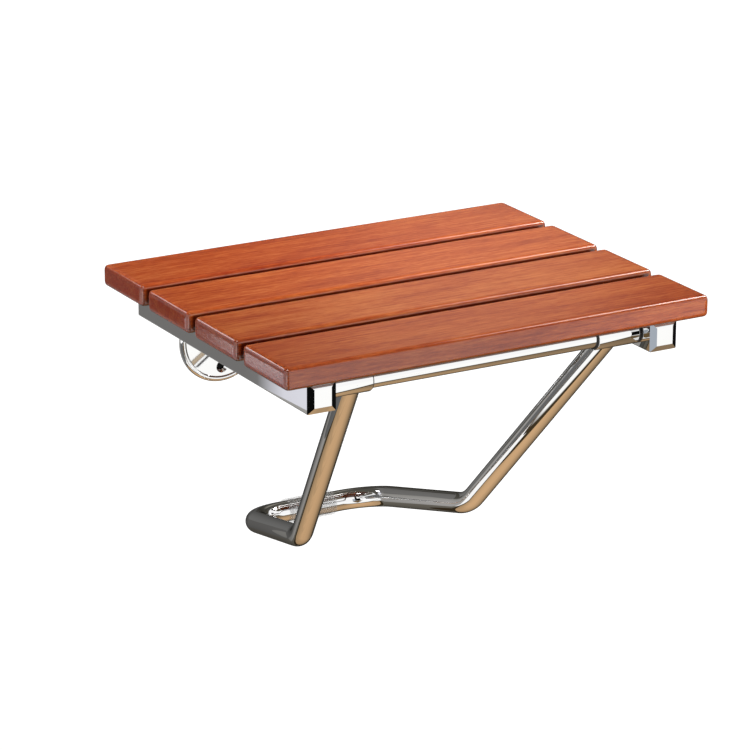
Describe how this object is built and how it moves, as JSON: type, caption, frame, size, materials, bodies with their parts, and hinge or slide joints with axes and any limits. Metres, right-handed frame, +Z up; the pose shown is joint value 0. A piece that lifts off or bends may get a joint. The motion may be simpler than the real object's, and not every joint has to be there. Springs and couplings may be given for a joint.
{
  "type": "wall-mounted folding shower seat",
  "caption": "Fold-up shower seat: lacquered wooden slats on polished square rails, round wall roses, and a bent tube leg that braces against the wall.",
  "frame": {"origin": "on the wall plane, midway between the centres of the two wall roses", "axes": "+X to the sitter's left-to-right along the slats as seen from the front, +Y into the wall, +Z up"},
  "size_m": [0.38, 0.322, 0.255],
  "materials": {
    "lacquered_wood": "gloss lacquer over red-brown hardwood",
    "polished_rail": "mirror polished",
    "polished_cap": "mirror polished",
    "polished_tube": "mirror polished",
    "polished_rose": "mirror polished",
    "zinc_steel": "satin, zinc plated",
    "nylon": "satin",
    "clear_vinyl": "clear, soft"
  },
  "bodies": {
    "wall_brackets": {"left_rose": "polished_rose", "right_rose": "polished_rose", "left_bracket_tube": "polished_tube", "right_bracket_tube": "polished_tube", "left_bracket_sleeve": "polished_tube", "right_bracket_sleeve": "polished_tube", "left_bracket_bush": "nylon", "right_bracket_bush": "nylon"},
    "seat": {"back_slat": "lacquered_wood", "second_slat": "lacquered_wood", "third_slat": "lacquered_wood", "front_slat": "lacquered_wood", "left_rail": "polished_rail", "right_rail": "polished_rail", "left_front_cap": "polished_cap", "right_front_cap": "polished_cap", "left_back_cap": "polished_cap", "right_back_cap": "polished_cap", "left_slat_screws": "zinc_steel", "right_slat_screws": "zinc_steel", "front_bar": "polished_tube", "pivot_bar": "polished_tube", "left_stop_collar": "zinc_steel", "right_stop_collar": "zinc_steel", "collar_set_screws": "zinc_steel"},
    "leg": {"leg_tube": "polished_tube", "left_leg_sleeve": "polished_tube", "right_leg_sleeve": "polished_tube", "left_leg_bush": "nylon", "right_leg_bush": "nylon", "wall_pad": "clear_vinyl"}
  },
  "joints": [
    {"name": "seat_fold", "type": "hinge", "parent": "wall_brackets", "child": "seat", "pos_m": [0, -0.0495, 0.0525], "axis": [-1, 0, 0], "range_deg": [0, 90]},
    {"name": "leg_swing", "type": "hinge", "parent": "seat", "child": "leg", "pos_m": [0, -0.2895, 0.0525], "axis": [1, 0, 0], "range_deg": [0, 36]}
  ],
  "couplings": [
    {"joint": "leg_swing", "follows": "seat_fold", "ratio": 0.4}
  ]
}
